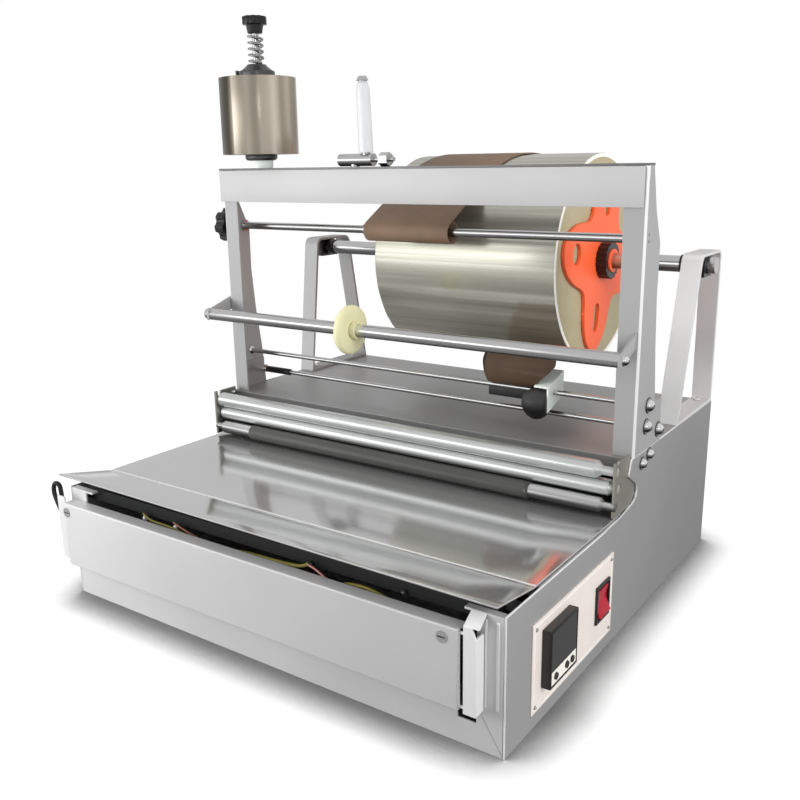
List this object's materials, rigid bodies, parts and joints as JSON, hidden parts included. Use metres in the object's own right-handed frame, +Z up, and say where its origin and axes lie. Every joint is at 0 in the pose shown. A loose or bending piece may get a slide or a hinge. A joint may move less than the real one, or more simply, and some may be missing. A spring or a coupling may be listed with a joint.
{
  "type": "cellophane overwrapping machine",
  "caption": "Tabletop film overwrapping machine: heated sheet-metal table, feed rollers, portal with guide rods, film roll on a shaft with end flanges, tear-tape spindle and control plate.",
  "frame": {"origin": "centre of the base box's underside, on the surface it stands on", "axes": "+Z up, +X to the operator's right along the rollers, +Y away from the operator towards the film roll"},
  "size_m": [0.519, 0.5235, 0.5589],
  "materials": {
    "sheet_steel": "satin",
    "polished_steel": "polished",
    "chrome": "polished",
    "dark_steel": "satin",
    "black_plastic": "satin",
    "dark_rubber": "matte",
    "orange_plastic": "semi-gloss",
    "strap_fabric": "coated, semi-matte",
    "nylon": "satin",
    "white_nylon": "satin",
    "film": "glossy, wound",
    "tape": "satin, wound",
    "card": "matte",
    "clip_paint": "satin",
    "beige_plate": "satin",
    "red_plastic": "glossy",
    "screen": "glossy",
    "wire_yellow": "matte",
    "spring_steel": "bright"
  },
  "bodies": {
    "frame": {"side_panels": "sheet_steel", "base_plates": "sheet_steel", "front_frame": "sheet_steel", "fascia": "sheet_steel", "fascia_brackets": "sheet_steel", "deck_plate": "sheet_steel", "posts": "sheet_steel", "top_beam": "sheet_steel", "inner_brackets": "sheet_steel", "rear_brackets": "sheet_steel", "roller_plates": "polished_steel", "work_table": "polished_steel", "panel_screws": "polished_steel", "frame_fasteners": "chrome", "tie_rods": "chrome", "guide_tube": "chrome", "beam_pins": "chrome", "roller_well": "dark_steel", "heater_plate": "dark_steel", "inner_blocks": "black_plastic", "heater_leads": "wire_yellow", "side_loop": "dark_rubber", "power_inlet": "black_plastic", "rod_rubbers": "dark_rubber", "bearing_blocks": "dark_steel", "brake_strap": "strap_fabric", "strap_clip": "clip_paint", "spindle_base": "white_nylon", "reel_cups": "dark_steel", "spindle_spring": "spring_steel", "control_plate": "beige_plate", "controller_case": "black_plastic", "controller_window": "screen", "controller_strip": "beige_plate", "rocker_frame": "black_plastic"},
    "roll": {"roll_shaft": "chrome", "shaft_collars": "black_plastic", "roll_core": "card", "film_roll": "film"},
    "end_flange_right": {"flange_right": "orange_plastic"},
    "end_flange_left": {"flange_left": "orange_plastic"},
    "lock_nut_right": {"ring_nut_right": "black_plastic"},
    "lock_nut_left": {"ring_nut_left": "black_plastic"},
    "feed_roller_top": {"roller_top": "chrome"},
    "feed_roller_nip": {"roller_nip": "chrome"},
    "feed_roller_lower": {"roller_lower": "chrome", "roller_grip": "dark_rubber"},
    "turning_rod": {"knob_rod": "chrome", "star_knob": "black_plastic"},
    "wheel_slider": {"wheel_bush": "nylon"},
    "wheel": {"guide_wheel": "nylon"},
    "tape_spool": {"reel_core": "card", "tape_reel": "tape"},
    "spindle_knob": {"tension_knob": "black_plastic"},
    "sleeve": {"pin_sleeve": "white_nylon"},
    "rocker": {"rocker_key": "red_plastic"},
    "set_button": {"button_set": "black_plastic"},
    "down_button": {"button_down": "black_plastic"},
    "up_button": {"button_up": "black_plastic"}
  },
  "joints": [
    {"name": "roll_spin", "type": "hinge", "parent": "frame", "child": "roll", "pos_m": [0, 0.168, 0.3105], "axis": [1, 0, 0], "continuous": true},
    {"name": "flange_right_slide", "type": "slide", "parent": "roll", "child": "end_flange_right", "axis": [1, 0, 0], "range_m": [0, 0.06]},
    {"name": "flange_left_slide", "type": "slide", "parent": "roll", "child": "end_flange_left", "axis": [-1, 0, 0], "range_m": [0, 0.06]},
    {"name": "lock_nut_right_turn", "type": "hinge", "parent": "end_flange_right", "child": "lock_nut_right", "pos_m": [0.141, 0.168, 0.3105], "axis": [1, 0, 0], "range_deg": [-180, 180]},
    {"name": "lock_nut_left_turn", "type": "hinge", "parent": "end_flange_left", "child": "lock_nut_left", "pos_m": [-0.089, 0.168, 0.3105], "axis": [1, 0, 0], "range_deg": [-180, 180]},
    {"name": "roller_top_spin", "type": "hinge", "parent": "frame", "child": "feed_roller_top", "pos_m": [0, -0.03, 0.1554], "axis": [1, 0, 0], "continuous": true},
    {"name": "roller_nip_spin", "type": "hinge", "parent": "frame", "child": "feed_roller_nip", "pos_m": [0, -0.027, 0.1398], "axis": [1, 0, 0], "continuous": true},
    {"name": "roller_lower_spin", "type": "hinge", "parent": "frame", "child": "feed_roller_lower", "pos_m": [0, -0.033, 0.1246], "axis": [1, 0, 0], "continuous": true},
    {"name": "star_knob_turn", "type": "hinge", "parent": "frame", "child": "turning_rod", "pos_m": [0, 0.028, 0.3456], "axis": [1, 0, 0], "continuous": true},
    {"name": "wheel_slide", "type": "slide", "parent": "frame", "child": "wheel_slider", "axis": [1, 0, 0], "range_m": [-0.13, 0.19]},
    {"name": "wheel_spin", "type": "hinge", "parent": "wheel_slider", "child": "wheel", "pos_m": [-0.0465, -0.027, 0.2515], "axis": [1, 0, 0], "continuous": true},
    {"name": "tape_reel_spin", "type": "hinge", "parent": "frame", "child": "tape_spool", "pos_m": [-0.189, 0.01, 0.46], "axis": [0, 0, 1], "continuous": true},
    {"name": "tension_knob_travel", "type": "slide", "parent": "frame", "child": "spindle_knob", "axis": [0, 0, 1], "range_m": [-0.012, 0], "deforming": ["spindle_spring"]},
    {"name": "sleeve_spin", "type": "hinge", "parent": "frame", "child": "sleeve", "pos_m": [-0.047, 0.007, 0.4146], "axis": [-0.0349, 0, 0.9994], "continuous": true},
    {"name": "rocker_tip", "type": "hinge", "parent": "frame", "child": "rocker", "pos_m": [0.2397, -0.0635, 0.0525], "axis": [0, 1, 0], "range_deg": [0, 14]},
    {"name": "set_button_press", "type": "slide", "parent": "frame", "child": "set_button", "axis": [-1, 0, 0], "range_m": [0, 0.001], "stiffness_N_per_m": 300},
    {"name": "down_button_press", "type": "slide", "parent": "frame", "child": "down_button", "axis": [-1, 0, 0], "range_m": [0, 0.001], "stiffness_N_per_m": 300},
    {"name": "up_button_press", "type": "slide", "parent": "frame", "child": "up_button", "axis": [-1, 0, 0], "range_m": [0, 0.001], "stiffness_N_per_m": 300}
  ],
  "couplings": [
    {"joint": "roller_nip_spin", "follows": "roller_top_spin", "ratio": -1.054}
  ]
}
